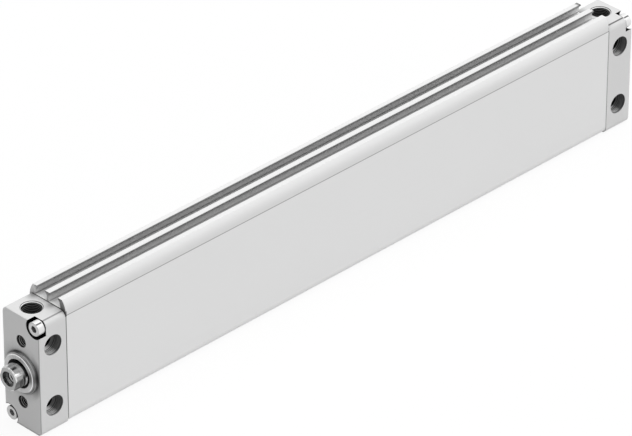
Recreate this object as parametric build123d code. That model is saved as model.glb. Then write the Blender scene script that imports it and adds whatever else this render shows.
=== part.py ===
from build123d import *
import math
import os

# Flat pneumatic cylinder with an oval bore, in millimetres.
# +X runs from the front cap to the rear cap, +Z points to the sensor slots.
# The origin is on the rod's axis, in the front cap's front face.

# Body
BODY_WIDTH = 24.0
BODY_HEIGHT = 60.0
STROKE = 320.0
CAP_LENGTH = 16.5
CAP_EDGE_RADIUS = 3.3
CAP_CREASE_INSET = 2.0
CAP_EDGE_CHAMFER = 0.25
BARREL_EDGE_RADIUS = 4.2

# Oval bore
SIDE_WALL = 2.0
END_WALL = 7.75
BORE_WIDTH = BODY_WIDTH - 2 * SIDE_WALL
BORE_HEIGHT = BODY_HEIGHT - 2 * END_WALL

# Sensor slots and the rail between them
RAIL_HEIGHT = 5.1
RAIL_TOP_WIDTH = 3.3
RAIL_STEM_WIDTH = 1.2
SLOT_MOUTH = 5.2
SLOT_DEPTH = 4.8
SLOT_UNDERCUT = 1.6
LIP_THICKNESS = 0.6
LIP_SLOPE_HEIGHT = 1.1
LIP_EDGE_RADIUS = 0.25
SHOULDER_RADIUS = 11.7
SHOULDER_START = 2.0

# Screws that hold the caps, on one diagonal
CAP_SCREW_RADIUS = 2.0
CAP_SCREW_HEAD_RADIUS = 3.5
CAP_SCREW_HEAD_HEIGHT = 4.0
CAP_SCREW_SOCKET = 3.0
CAP_SCREW_SOCKET_DEPTH = 2.0
CAP_SCREW_GRIP = 7.7
CAP_SCREW_INSET = 3.7
CAP_SCREW_CHAMFER = 0.3
NOTCH_RADIUS = 5.1
NOTCH_INSET = 3.1
NOTCH_DEPTH = 4.3
TAPPED_HOLE_SPARE = 2.0

# Cross holes for fastening the cylinder by its wide sides
CROSS_HOLE_MARGIN = 13.75
CROSS_HOLE_SPACING = BODY_HEIGHT - 2 * CROSS_HOLE_MARGIN
CROSS_HOLE_RADIUS = 3.5
CROSS_COUNTERBORE_RADIUS = 5.15
CROSS_COUNTERBORE_DEPTH = 5.4

# Threaded holes in the end faces
END_HOLE_SPACING = CROSS_HOLE_SPACING
END_HOLE_RADIUS = 3.0
END_HOLE_RIM_RADIUS = 3.2

# Air ports
PORT_OFFSET = 1.5
PORT_RADIUS = 4.86
PORT_RIM_RADIUS = 5.4
PORT_DEPTH = 7.5
CHANNEL_RADIUS = 1.5
CHANNEL_INSET = 3.95
CHANNEL_SLOPE = 33.0

# Spigot of each cap, with its seal and its cushion
SPIGOT_LENGTH = 5.0
SPIGOT_GAP = 0.15
CAP_SEAL_RADIUS = 0.9
CAP_SEAL_POSITION = 2.5
CUSHION_SHARE_OF_WIDTH = 0.9
CUSHION_SHARE_OF_HEIGHT = 0.58
CUSHION_SEAT_DEPTH = 1.0
CUSHION_PROUD = 1.5
CUSHION_HOLE_GAP = 1.2
STOP_GAP = 0.3

# Rod, its spanner flats and its thread
ROD_PROTRUSION = 8.4
ROD_END_CHAMFER = 0.5
ROD_FLATS_DEPTH = 1.0
ROD_FLATS_LENGTH = 3.9
ROD_FLATS_ANGLE = 20.7
ROD_THREAD_RADIUS = 3.0
ROD_COUNTERBORE_RADIUS = 3.75
ROD_COUNTERBORE_DEPTH = 2.3
ROD_THREAD_DEPTH = 14.0

# Collar, wiper, seal and bush round the rod
COLLAR_PROUD = 2.2
COLLAR_SIDE_MARGIN = 1.5
COLLAR_RADIUS = BODY_WIDTH / 2 - COLLAR_SIDE_MARGIN
COLLAR_CHAMFER = 1.1
COLLAR_ROD_GAP = 1.25
COLLAR_SEAT_DEPTH = 6.0
COLLAR_BORE_DEPTH = 2.6
COLLAR_THROAT_GAP = 0.4
WIPER_RECESS = 2.6
WIPER_LIP_LENGTH = 0.4
WIPER_LIP_THICKNESS = 0.35
WIPER_LIP_BASE = 1.2
SEAL_SEAT_LENGTH = 4.0
SEAL_LIP_GROOVE = 1.6
BUSH_WALL = 1.5
SPIGOT_WALL = 0.5
SEAL_SEAT_STEP = 0.5
COLLAR_SEAT_STEP = 0.6

# Piston
PISTON_HALF_LENGTH = 8.9
MAGNET_LENGTH = 4.0
PISTON_GAP = 0.3
PISTON_SEAL_GAP = 0.15
PISTON_SEAL_WIDTH = 3.0
PISTON_SEAL_DEPTH = 2.2
PISTON_SEAL_LAND = 2.5
PISTON_SEAL_LIP_WIDTH = 0.5
PISTON_SEAL_LIP_DEPTH = 1.4
GUIDE_BAND_THICKNESS = 1.2
NUT_HEIGHT = 4.0
NUT_SHARE_OF_WASHER = 5 / 6
WASHER_THICKNESS = 1.6
NUT_RECESS_GAP = 0.4
NUT_RECESS_WALL = 1.15
O_RING_RADIUS = 0.75

# Clearances
FIT_GAP = 0.02
SCREW_GAP = 0.2
RUNNING_GAP = 0.05
LIP_GAP = 0.1
SEAT_GAP = 0.1

# Worked out from the sizes above
PISTON_LENGTH = 2 * PISTON_HALF_LENGTH + MAGNET_LENGTH
CHAMBER_END = SPIGOT_LENGTH + CUSHION_PROUD + STOP_GAP
BARREL_LENGTH = STROKE + PISTON_LENGTH + 2 * CHAMBER_END
TOTAL_LENGTH = BARREL_LENGTH + 2 * CAP_LENGTH
BARREL_REAR = CAP_LENGTH + BARREL_LENGTH
CAP_MIDDLE = CAP_LENGTH / 2
PISTON_REAR = BARREL_REAR - CHAMBER_END
PISTON_FRONT = PISTON_REAR - PISTON_LENGTH
MAGNET_FRONT = PISTON_FRONT + PISTON_HALF_LENGTH
MAGNET_REAR = MAGNET_FRONT + MAGNET_LENGTH
HALF_WIDTH = BODY_WIDTH / 2
HALF_HEIGHT = BODY_HEIGHT / 2
SCREW_Y = HALF_WIDTH - CAP_SCREW_INSET
SCREW_Z = HALF_HEIGHT - CAP_SCREW_INSET
DIAGONAL = [(-1, 1), (1, -1)]
OVERCUT = 1.0

CAP_GROOVE_FLOOR = 2 * (CAP_SEAL_RADIUS + SEAT_GAP)
BUSH_OUTER_RADIUS = BORE_WIDTH / 2 - CAP_GROOVE_FLOOR - SPIGOT_WALL
ROD_RADIUS = BUSH_OUTER_RADIUS - BUSH_WALL
ROD_FLATS = 2 * (ROD_RADIUS - ROD_FLATS_DEPTH)
ROD_STUD_RADIUS = ROD_RADIUS / 2
COLLAR_BORE_RADIUS = ROD_RADIUS + COLLAR_ROD_GAP
SEAL_SEAT_RADIUS = BUSH_OUTER_RADIUS + SEAL_SEAT_STEP
COLLAR_SEAT_RADIUS = SEAL_SEAT_RADIUS + COLLAR_SEAT_STEP
SEAL_GROOVE_FLOOR = PISTON_SEAL_GAP + PISTON_SEAL_DEPTH + SEAT_GAP
NUT_RECESS_RADIUS = BORE_WIDTH / 2 - SEAL_GROOVE_FLOOR - NUT_RECESS_WALL
WASHER_RADIUS = NUT_RECESS_RADIUS - NUT_RECESS_GAP
NUT_FLATS = 2 * WASHER_RADIUS * NUT_SHARE_OF_WASHER
CHANNEL_HEIGHT = BORE_HEIGHT / 2 - CHANNEL_INSET
CUSHION_WIDTH = BORE_WIDTH * CUSHION_SHARE_OF_WIDTH
CUSHION_HEIGHT = BORE_HEIGHT * CUSHION_SHARE_OF_HEIGHT


def round_bar(x, length, radius, y=0.0, z=0.0):
    """Cylinder along X that starts at x."""
    return extrude(Plane.YZ.offset(x) * Pos(y, z) * Circle(radius), length)


def oval_bar(x, length, inset=0.0):
    """Bar with the bore's oval section, drawn in by inset all round."""
    section = SlotOverall(BORE_HEIGHT - 2 * inset, BORE_WIDTH - 2 * inset, rotation=90)
    return extrude(Plane.YZ.offset(x) * section, length)


def oval_ring(x, length, outer_inset, inner_inset):
    """Oval ring between two insets from the bore's wall."""
    return oval_bar(x, length, outer_inset) - oval_bar(x, length, inner_inset)


def turned(points):
    """Solid of revolution about the rod's axis, from (x, radius) points."""
    profile = make_face(Polyline([(x, 0, radius) for x, radius in points], close=True))
    return revolve(profile, Axis.X, 360)


def rim_cone(radius, rim_radius):
    """Countersink in XY, mouth up at the origin, that opens a hole to its rim."""
    depth = rim_radius - radius
    cone = Cone(radius, rim_radius + OVERCUT, depth + OVERCUT)
    return Pos(0, 0, (OVERCUT - depth) / 2) * cone


def mirrored_to_rear(solid):
    """Same piece at the rear end, turned end for end."""
    return Pos(TOTAL_LENGTH, 0, 0) * mirror(solid, about=Plane.YZ)


def barrel_section():
    """Outline of the extrusion: flat sides, curved shoulders, two slots and a rail."""
    top = HALF_HEIGHT + RAIL_HEIGHT
    floor = top - SLOT_DEPTH
    rail_half = RAIL_TOP_WIDTH / 2
    stem_half = RAIL_STEM_WIDTH / 2
    lip_y = rail_half + SLOT_MOUTH
    shoulder_z = HALF_HEIGHT - SHOULDER_START
    shoulder_turn = math.degrees(math.asin((top - shoulder_z) / SHOULDER_RADIUS))
    under_lip = top - LIP_THICKNESS
    slope_end = under_lip - LIP_SLOPE_HEIGHT
    slope_in = rail_half - stem_half
    with BuildSketch() as section:
        with BuildLine():
            bottom = Line((0, -HALF_HEIGHT), (HALF_WIDTH - BARREL_EDGE_RADIUS, -HALF_HEIGHT))
            corner = JernArc(bottom @ 1, (1, 0), BARREL_EDGE_RADIUS, 90)
            side = Line(corner @ 1, (HALF_WIDTH, shoulder_z))
            shoulder = JernArc(side @ 1, (0, 1), SHOULDER_RADIUS, shoulder_turn)
            Polyline(
                shoulder @ 1,
                (lip_y, top),
                (lip_y, under_lip),
                (lip_y + slope_in, slope_end),
                (lip_y + SLOT_UNDERCUT, floor),
                (stem_half, floor),
                (stem_half, slope_end),
                (rail_half, under_lip),
                (rail_half, top),
                (0, top),
            )
            mirror(about=Plane.YZ)
        make_face()
        lip_corners = section.vertices().filter_by_position(Axis.Y, top, top)
        fillet([v for v in lip_corners if abs(v.X) > rail_half / 2], LIP_EDGE_RADIUS)
    return section.sketch


def barrel():
    """Extruded tube with its oval bore and four tapped holes."""
    tube = extrude(Plane.YZ.offset(CAP_LENGTH) * barrel_section(), BARREL_LENGTH)
    tube -= oval_bar(CAP_LENGTH - OVERCUT, BARREL_LENGTH + 2 * OVERCUT)
    depth = CAP_SCREW_GRIP + TAPPED_HOLE_SPARE
    for side, up in DIAGONAL:
        for start in (CAP_LENGTH, BARREL_REAR - depth):
            tube -= round_bar(start, depth, CAP_SCREW_RADIUS + FIT_GAP, side * SCREW_Y, up * SCREW_Z)
    return tube


def cap_outline():
    """Outline of a cap, whose round corners meet the flat ends in a crease."""
    run = CAP_EDGE_RADIUS - CAP_CREASE_INSET
    rise = math.sqrt(CAP_EDGE_RADIUS**2 - run**2)
    turn = math.degrees(math.acos(run / CAP_EDGE_RADIUS))
    with BuildSketch(Plane.YZ) as outline:
        with BuildLine():
            side = Line((HALF_WIDTH, 0), (HALF_WIDTH, HALF_HEIGHT - rise))
            corner = JernArc(side @ 1, (0, 1), CAP_EDGE_RADIUS, turn)
            Line(corner @ 1, (0, HALF_HEIGHT))
            mirror(about=Plane.XZ)
            mirror(about=Plane.YZ)
        make_face()
    return outline.sketch


def cap_block():
    """Block of a cap with its edges broken, outer face at X = 0, and its oval spigot."""
    block = extrude(cap_outline(), CAP_LENGTH)
    ends = block.faces().filter_by(Axis.X)
    block = chamfer(ends.edges(), CAP_EDGE_CHAMFER)
    groove_start = CAP_LENGTH + CAP_SEAL_POSITION - CAP_SEAL_RADIUS - SEAT_GAP
    groove_width = 2 * (CAP_SEAL_RADIUS + SEAT_GAP)
    spigot = oval_bar(CAP_LENGTH, SPIGOT_LENGTH, SPIGOT_GAP)
    spigot -= oval_ring(groove_start, groove_width, 0, CAP_GROOVE_FLOOR)
    return block + spigot


def cap_notches():
    """Corner notches and clearance holes for the two cap screws."""
    cuts = []
    for side, up in DIAGONAL:
        notch_y = side * (HALF_WIDTH - NOTCH_INSET)
        notch_z = up * (HALF_HEIGHT - NOTCH_INSET)
        cuts.append(round_bar(-OVERCUT, NOTCH_DEPTH + OVERCUT, NOTCH_RADIUS, notch_y, notch_z))
        hole_radius = CAP_SCREW_RADIUS + SCREW_GAP
        cuts.append(round_bar(0, CAP_LENGTH + OVERCUT, hole_radius, side * SCREW_Y, up * SCREW_Z))
    return cuts


def cap_cross_holes():
    """Through holes along Y with a counterbore at each side."""
    outside = HALF_WIDTH + OVERCUT
    seat = HALF_WIDTH - CROSS_COUNTERBORE_DEPTH
    cuts = []
    for up in (-1, 1):
        for radius, near, far in (
            (CROSS_HOLE_RADIUS, -outside, outside),
            (CROSS_COUNTERBORE_RADIUS, -outside, -seat),
            (CROSS_COUNTERBORE_RADIUS, seat, outside),
        ):
            middle = Pos(CAP_MIDDLE, up * CROSS_HOLE_SPACING / 2)
            circle = Plane.XZ.offset(-near) * middle * Circle(radius)
            cuts.append(extrude(circle, near - far))
    return cuts


def cap_end_holes():
    """Two threaded holes in the outer face, which end in the cross holes."""
    cuts = []
    for up in (-1, 1):
        z = up * END_HOLE_SPACING / 2
        cuts.append(round_bar(-OVERCUT, CAP_MIDDLE + OVERCUT, END_HOLE_RADIUS, 0, z))
        cuts.append(Pos(0, 0, z) * Rot(0, -90, 0) * rim_cone(END_HOLE_RADIUS, END_HOLE_RIM_RADIUS))
    return cuts


def cap_port():
    """Air port in the top face and the sloping channel from it into the bore."""
    bottom = HALF_HEIGHT - PORT_DEPTH
    circle = Plane.XY.offset(bottom) * Pos(CAP_MIDDLE, PORT_OFFSET) * Circle(PORT_RADIUS)
    port = extrude(circle, PORT_DEPTH + OVERCUT)
    rim = Pos(CAP_MIDDLE, PORT_OFFSET, HALF_HEIGHT) * rim_cone(PORT_RADIUS, PORT_RIM_RADIUS)
    slope = math.radians(CHANNEL_SLOPE)
    run = CAP_LENGTH - CAP_MIDDLE
    inner_end = SPIGOT_LENGTH + OVERCUT
    start = Vector(CAP_LENGTH + inner_end, PORT_OFFSET, CHANNEL_HEIGHT - inner_end * math.tan(slope))
    heading = Vector(-math.cos(slope), 0, math.sin(slope))
    length = (inner_end + run - CHANNEL_RADIUS) / math.cos(slope)
    channel = extrude(Plane(origin=start, z_dir=heading) * Circle(CHANNEL_RADIUS), length)
    return [port, rim, channel]


def cushion_section(gap):
    """Oval of the rubber cushion, made larger by gap."""
    return SlotOverall(CUSHION_HEIGHT + 2 * gap, CUSHION_WIDTH + 2 * gap, rotation=90)


def cap():
    """Cap with everything that both ends share."""
    seat_start = CAP_LENGTH + SPIGOT_LENGTH - CUSHION_SEAT_DEPTH
    body = cap_block()
    seat = extrude(Plane.YZ.offset(seat_start) * cushion_section(SEAT_GAP), CUSHION_SEAT_DEPTH + OVERCUT)
    return body - [seat, *cap_notches(), *cap_cross_holes(), *cap_end_holes(), *cap_port()]


def front_cap():
    """Front cap with the stepped bore for collar, rod seal and bush."""
    seal_end = COLLAR_SEAT_DEPTH + SEAL_SEAT_LENGTH
    seat = round_bar(-OVERCUT, COLLAR_SEAT_DEPTH + OVERCUT, COLLAR_SEAT_RADIUS)
    seal_seat = round_bar(COLLAR_SEAT_DEPTH, SEAL_SEAT_LENGTH, SEAL_SEAT_RADIUS)
    bush_seat = round_bar(seal_end, CAP_LENGTH + SPIGOT_LENGTH - seal_end, BUSH_OUTER_RADIUS + FIT_GAP)
    return cap() - [seat, seal_seat, bush_seat]


def rear_cap():
    """Rear cap, closed in the middle."""
    return mirrored_to_rear(cap())


def cap_screw(side, up):
    """Socket head screw from the notch floor through the cap into the barrel."""
    head_start = NOTCH_DEPTH - CAP_SCREW_HEAD_HEIGHT
    shank_length = CAP_LENGTH - NOTCH_DEPTH + CAP_SCREW_GRIP
    head = round_bar(head_start, CAP_SCREW_HEAD_HEIGHT, CAP_SCREW_HEAD_RADIUS)
    head = chamfer(head.edges().sort_by(Axis.X)[0], CAP_SCREW_CHAMFER)
    socket = RegularPolygon(CAP_SCREW_SOCKET / 2, 6, major_radius=False)
    head -= extrude(Plane.YZ.offset(head_start) * socket, CAP_SCREW_SOCKET_DEPTH)
    screw = head + round_bar(NOTCH_DEPTH, shank_length, CAP_SCREW_RADIUS)
    return Pos(0, side * SCREW_Y, up * SCREW_Z) * screw


def front_cap_screws():
    """The two screws of the front cap."""
    return [cap_screw(side, up) for side, up in DIAGONAL]


def rear_cap_screws():
    """The two screws of the rear cap."""
    return [mirrored_to_rear(screw) for screw in front_cap_screws()]


def front_cap_seal():
    """Oval cord seal in the groove of the spigot."""
    x = CAP_LENGTH + CAP_SEAL_POSITION
    inset = CAP_SEAL_RADIUS + SEAT_GAP
    bend = BORE_WIDTH / 2 - inset
    straight = BORE_HEIGHT - BORE_WIDTH
    bar = Plane.XY.offset(-straight / 2) * Pos(x, bend) * Circle(CAP_SEAL_RADIUS)
    limb = extrude(bar, straight)
    loop = Plane.XY * Pos(x, bend) * Circle(CAP_SEAL_RADIUS)
    bow = revolve(loop, Axis.X, 180)
    top = Pos(0, 0, straight / 2) * bow
    bottom = mirror(top, about=Plane.XY)
    return limb + mirror(limb, about=Plane.XZ) + top + bottom


def rear_cap_seal():
    """Same seal on the rear cap."""
    return mirrored_to_rear(front_cap_seal())


def front_cushion():
    """Oval rubber ring that the piston meets at the end of its stroke."""
    start = CAP_LENGTH + SPIGOT_LENGTH - CUSHION_SEAT_DEPTH
    thickness = CUSHION_SEAT_DEPTH + CUSHION_PROUD
    pad = extrude(Plane.YZ.offset(start) * cushion_section(0), thickness)
    rim = CUSHION_WIDTH / 2 - ROD_RADIUS - CUSHION_HOLE_GAP
    return pad - extrude(Plane.YZ.offset(start) * cushion_section(-rim), thickness)


def rear_cushion():
    """Same ring on the rear cap."""
    return mirrored_to_rear(front_cushion())


def bearing_collar():
    """Turned collar that stands out of the front face and holds the wiper."""
    seat_radius = COLLAR_SEAT_RADIUS - FIT_GAP
    throat = ROD_RADIUS + COLLAR_THROAT_GAP
    return turned([
        (-COLLAR_PROUD, COLLAR_BORE_RADIUS),
        (-COLLAR_PROUD, COLLAR_RADIUS - COLLAR_CHAMFER),
        (-COLLAR_PROUD + COLLAR_CHAMFER, COLLAR_RADIUS),
        (0, COLLAR_RADIUS),
        (0, seat_radius),
        (COLLAR_SEAT_DEPTH, seat_radius),
        (COLLAR_SEAT_DEPTH, throat),
        (COLLAR_BORE_DEPTH, throat),
        (COLLAR_BORE_DEPTH, COLLAR_BORE_RADIUS),
    ])


def wiper_ring():
    """Rubber ring in the collar with a lip that points outwards along the rod."""
    outer = COLLAR_BORE_RADIUS - FIT_GAP
    lip = ROD_RADIUS + LIP_GAP
    base = (outer + ROD_RADIUS) / 2
    face = WIPER_RECESS - COLLAR_PROUD
    return turned([
        (face, outer),
        (COLLAR_BORE_DEPTH, outer),
        (COLLAR_BORE_DEPTH, lip + WIPER_LIP_THICKNESS),
        (face + WIPER_LIP_BASE, lip + WIPER_LIP_THICKNESS),
        (face - WIPER_LIP_LENGTH, lip),
        (face - WIPER_LIP_LENGTH, lip + WIPER_LIP_THICKNESS),
        (face, base),
    ])


def rod_seal():
    """Lip seal between the collar and the bush, open towards the bore."""
    start = COLLAR_SEAT_DEPTH + SEAT_GAP
    end = COLLAR_SEAT_DEPTH + SEAL_SEAT_LENGTH - SEAT_GAP
    outer = SEAL_SEAT_RADIUS - FIT_GAP
    inner = ROD_RADIUS + LIP_GAP
    middle = (outer + inner) / 2
    return turned([
        (start, inner),
        (start, outer),
        (end, outer),
        (end - SEAL_LIP_GROOVE, middle),
        (end, inner),
    ])


def rod_bush():
    """Plain bearing of the rod in the front cap."""
    start = COLLAR_SEAT_DEPTH + SEAL_SEAT_LENGTH
    length = CAP_LENGTH + SPIGOT_LENGTH - CUSHION_SEAT_DEPTH - start
    return round_bar(start, length, BUSH_OUTER_RADIUS) - round_bar(start, length, ROD_RADIUS + RUNNING_GAP)


def piston_rod():
    """Rod with spanner flats, a threaded hole at the front and a stud for the piston."""
    tip = -ROD_PROTRUSION
    stud_end = PISTON_REAR - NUT_RECESS_GAP
    rod = turned([
        (tip, 0),
        (tip, ROD_RADIUS - ROD_END_CHAMFER),
        (tip + ROD_END_CHAMFER, ROD_RADIUS),
        (PISTON_FRONT, ROD_RADIUS),
        (PISTON_FRONT, ROD_STUD_RADIUS),
        (stud_end, ROD_STUD_RADIUS),
        (stud_end, 0),
    ])
    waste = 2 * ROD_RADIUS
    middle = tip + ROD_FLATS_LENGTH / 2
    for turn in (ROD_FLATS_ANGLE, ROD_FLATS_ANGLE + 180):
        block = Pos(middle, (ROD_FLATS + waste) / 2, 0) * Box(ROD_FLATS_LENGTH, waste, waste)
        rod -= Rot(turn, 0, 0) * block
    rod -= round_bar(tip, ROD_THREAD_DEPTH, ROD_THREAD_RADIUS)
    return rod - round_bar(tip, ROD_COUNTERBORE_DEPTH, ROD_COUNTERBORE_RADIUS)


def piston_half_blank(start):
    """Oval half of the piston with the stud's hole."""
    blank = oval_bar(start, PISTON_HALF_LENGTH, PISTON_GAP)
    return blank - round_bar(start, PISTON_HALF_LENGTH, ROD_STUD_RADIUS + RUNNING_GAP)


def seal_groove(start):
    """Cut for a piston seal that starts at start."""
    width = PISTON_SEAL_WIDTH + 2 * SEAT_GAP
    return oval_ring(start - SEAT_GAP, width, -OVERCUT, SEAL_GROOVE_FLOOR)


def front_piston_half():
    """Half on the rod side, with the O-ring's groove at its back."""
    groove = round_bar(MAGNET_FRONT - 2 * O_RING_RADIUS - SEAT_GAP, 2 * O_RING_RADIUS + SEAT_GAP,
                       ROD_STUD_RADIUS + 2 * O_RING_RADIUS + SEAT_GAP)
    return piston_half_blank(PISTON_FRONT) - [seal_groove(PISTON_FRONT + PISTON_SEAL_LAND), groove]


def rear_piston_half():
    """Half on the far side, with the recess for washer and nut."""
    depth = WASHER_THICKNESS + NUT_HEIGHT + NUT_RECESS_GAP
    recess = round_bar(PISTON_REAR - depth, depth, NUT_RECESS_RADIUS)
    groove = seal_groove(PISTON_REAR - PISTON_SEAL_LAND - PISTON_SEAL_WIDTH)
    return piston_half_blank(MAGNET_REAR) - [groove, recess]


def piston_seal(start, lip_start):
    """Oval seal whose lip groove opens towards the pressure."""
    ring = oval_ring(start, PISTON_SEAL_WIDTH, PISTON_SEAL_GAP, PISTON_SEAL_GAP + PISTON_SEAL_DEPTH)
    lip_inset = PISTON_SEAL_GAP + (PISTON_SEAL_DEPTH - PISTON_SEAL_LIP_WIDTH) / 2
    return ring - oval_ring(lip_start, PISTON_SEAL_LIP_DEPTH, lip_inset, lip_inset + PISTON_SEAL_LIP_WIDTH)


def front_piston_seal():
    """Seal of the front half."""
    start = PISTON_FRONT + PISTON_SEAL_LAND
    return piston_seal(start, start)


def rear_piston_seal():
    """Seal of the rear half."""
    start = PISTON_REAR - PISTON_SEAL_LAND - PISTON_SEAL_WIDTH
    return piston_seal(start, start + PISTON_SEAL_WIDTH - PISTON_SEAL_LIP_DEPTH)


def piston_magnet():
    """Oval magnet between the halves."""
    plate = oval_bar(MAGNET_FRONT, MAGNET_LENGTH, PISTON_SEAL_GAP + GUIDE_BAND_THICKNESS + SEAT_GAP)
    return plate - round_bar(MAGNET_FRONT, MAGNET_LENGTH, ROD_STUD_RADIUS + RUNNING_GAP)


def guide_band():
    """Oval band round the magnet, which guides the piston in the bore."""
    return oval_ring(MAGNET_FRONT, MAGNET_LENGTH, PISTON_SEAL_GAP, PISTON_SEAL_GAP + GUIDE_BAND_THICKNESS)


def piston_o_ring():
    """O-ring round the stud, between the front half and the magnet."""
    ring_x = MAGNET_FRONT - O_RING_RADIUS - SEAT_GAP / 2
    section = Plane.XY * Pos(ring_x, ROD_STUD_RADIUS + O_RING_RADIUS + SEAT_GAP / 2) * Circle(O_RING_RADIUS)
    return revolve(section, Axis.X, 360)


def piston_washer():
    """Washer under the nut."""
    start = PISTON_REAR - NUT_RECESS_GAP - NUT_HEIGHT - WASHER_THICKNESS
    ring = round_bar(start, WASHER_THICKNESS, WASHER_RADIUS)
    return ring - round_bar(start, WASHER_THICKNESS, ROD_STUD_RADIUS + SCREW_GAP)


def piston_nut():
    """Thin nut that clamps the piston on the rod."""
    start = PISTON_REAR - NUT_RECESS_GAP - NUT_HEIGHT
    hexagon = RegularPolygon(NUT_FLATS / 2, 6, major_radius=False)
    nut = extrude(Plane.YZ.offset(start) * hexagon, NUT_HEIGHT)
    return nut - round_bar(start, NUT_HEIGHT, ROD_STUD_RADIUS + FIT_GAP)


PARTS = {
    "barrel": barrel,
    "front_cap": front_cap,
    "rear_cap": rear_cap,
    "front_cap_screws": front_cap_screws,
    "rear_cap_screws": rear_cap_screws,
    "front_cap_seal": front_cap_seal,
    "rear_cap_seal": rear_cap_seal,
    "front_cushion": front_cushion,
    "rear_cushion": rear_cushion,
    "bearing_collar": bearing_collar,
    "wiper_ring": wiper_ring,
    "rod_seal": rod_seal,
    "rod_bush": rod_bush,
    "piston_rod": piston_rod,
    "front_piston_half": front_piston_half,
    "rear_piston_half": rear_piston_half,
    "front_piston_seal": front_piston_seal,
    "rear_piston_seal": rear_piston_seal,
    "piston_magnet": piston_magnet,
    "guide_band": guide_band,
    "piston_o_ring": piston_o_ring,
    "piston_washer": piston_washer,
    "piston_nut": piston_nut,
}

os.makedirs("parts", exist_ok=True)
for name, build in PARTS.items():
    shape = build()
    if isinstance(shape, list):
        shape = Compound(children=shape)
    export_step(shape, f"parts/{name}.step")
    print(name, len(shape.solids()))
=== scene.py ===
"""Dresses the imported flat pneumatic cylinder: finishes, screws, threads and the studio round it."""
import math

import bmesh
import bpy
from mathutils import Matrix, Vector


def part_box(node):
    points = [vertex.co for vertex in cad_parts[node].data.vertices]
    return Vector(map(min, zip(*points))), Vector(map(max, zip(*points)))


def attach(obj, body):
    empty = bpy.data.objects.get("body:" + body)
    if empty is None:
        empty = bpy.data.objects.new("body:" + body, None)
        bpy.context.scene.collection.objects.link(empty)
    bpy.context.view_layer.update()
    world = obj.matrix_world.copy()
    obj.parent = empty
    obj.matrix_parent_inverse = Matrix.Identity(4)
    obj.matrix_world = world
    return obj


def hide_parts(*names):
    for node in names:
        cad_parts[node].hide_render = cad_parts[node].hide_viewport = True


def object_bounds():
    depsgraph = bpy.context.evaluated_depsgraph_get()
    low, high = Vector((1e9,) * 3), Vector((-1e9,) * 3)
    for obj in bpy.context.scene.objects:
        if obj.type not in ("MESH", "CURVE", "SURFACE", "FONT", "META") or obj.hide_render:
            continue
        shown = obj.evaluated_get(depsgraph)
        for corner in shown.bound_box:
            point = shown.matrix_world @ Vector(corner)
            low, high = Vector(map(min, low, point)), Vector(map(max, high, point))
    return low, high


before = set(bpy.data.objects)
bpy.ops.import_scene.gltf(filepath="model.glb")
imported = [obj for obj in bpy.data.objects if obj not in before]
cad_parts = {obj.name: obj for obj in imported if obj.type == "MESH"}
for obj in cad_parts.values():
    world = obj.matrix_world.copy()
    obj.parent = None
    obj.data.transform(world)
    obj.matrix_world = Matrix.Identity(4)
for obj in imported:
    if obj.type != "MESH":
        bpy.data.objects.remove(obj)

bl_info = {
    "name": "Flat Pneumatic Cylinder",
    "version": (1, 0, 0),
    "blender": (4, 5, 0),
    "location": "3D View > Sidebar > Cylinder",
    "description": "Finishes, screws and threads of a flat air cylinder, and a studio for it",
    "category": "Object",
}

MM = 0.001
CAD_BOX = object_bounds()
FRONT_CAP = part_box("front_cap")
REAR_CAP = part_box("rear_cap")
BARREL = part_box("barrel")
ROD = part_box("piston_rod")
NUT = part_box("piston_nut")
FRONT_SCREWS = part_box("front_cap_screws")

# Places on the body
TOTAL_LENGTH = REAR_CAP[1].x
HALF_WIDTH = FRONT_CAP[1].y
CAP_BASE = FRONT_CAP[0].z
CAP_TOP = FRONT_CAP[1].z
CAP_MIDDLE = BARREL[0].x / 2
FLOOR_LEVEL = CAD_BOX[0].z - 0.05 * MM
SIDE_TOP = CAP_TOP - 2.0 * MM
RAIL_TOP = CAD_BOX[1].z
CREASE_INSET = 2.0 * MM
NOTCH_INSET = 3.1 * MM
NOTCH_RADIUS = 5.1 * MM
NOTCH_DEPTH = 4.3 * MM
COLLAR_FACE = 9.4 * MM
PORT_REACH = 8.0 * MM
END_HOLE_REACH = CAP_MIDDLE - 3.4 * MM
CROSS_HOLE_RADIUS = 3.5 * MM
CAP_MIDDLES = (("front", CAP_MIDDLE), ("rear", TOTAL_LENGTH - CAP_MIDDLE))
LEVELS = (("upper", 1), ("lower", -1))

# Values that several functions share
FACING = 0.9
CREVICE = 0.8 * MM
WHITE = (1.0, 1.0, 1.0, 1.0)
LIT = (0.95, 0.95, 0.95, 1.0)
LATHE_SIDES = 48
PICTURE_WIDTH = 632


# Settings

def millimetres(name, description, value):
    """Length property that shows in scene units."""
    return bpy.props.FloatProperty(name=name, description=description, default=value * MM, min=0.0,
                                   precision=5, unit="LENGTH")


def tint(name, description, colour):
    """Colour property."""
    return bpy.props.FloatVectorProperty(name=name, description=description, default=colour, size=3,
                                         min=0.0, max=1.0, subtype="COLOR")


def share(name, description, value, top=1.0):
    """Plain number property."""
    return bpy.props.FloatProperty(name=name, description=description, default=value, min=0.0, max=top)


def turned(name, description, degrees):
    """Angle property."""
    return bpy.props.FloatProperty(name=name, description=description, default=math.radians(degrees),
                                   unit="ROTATION")


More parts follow.
